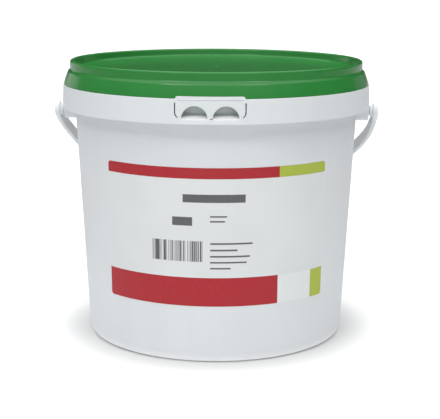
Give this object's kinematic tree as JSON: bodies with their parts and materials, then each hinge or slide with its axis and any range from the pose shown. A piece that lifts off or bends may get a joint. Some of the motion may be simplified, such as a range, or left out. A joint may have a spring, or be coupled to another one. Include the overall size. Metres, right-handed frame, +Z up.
{
  "type": "lidded plastic pail",
  "caption": "Round tapered plastic pail with a press-on lid, a tear tab on its collar, a swinging carrying handle and a stuck-on label.",
  "frame": {"origin": "centre of the foot plane, on the pail's own axis", "axes": "+X along the handle's pivot line, -Y towards the tear tab and the label, +Z up out of the lid"},
  "size_m": [0.2392, 0.226, 0.2027],
  "materials": {
    "pail_white": "satin moulded plastic",
    "lid_green": "satin moulded plastic",
    "handle_white": "satin moulded plastic",
    "label_print": "printed film label with red, lime and white areas",
    "cover_paper": "plain white paper label"
  },
  "bodies": {
    "pail": {"tub": "pail_white", "lid": "lid_green", "base_label": "label_print", "cover_label": "cover_paper"},
    "bail": {"handle": "handle_white"}
  },
  "joints": [
    {"name": "bail_swing", "type": "hinge", "parent": "pail", "child": "bail", "pos_m": [0, 0, 0.165], "axis": [1, 0, 0], "range_deg": [0, 250]}
  ]
}
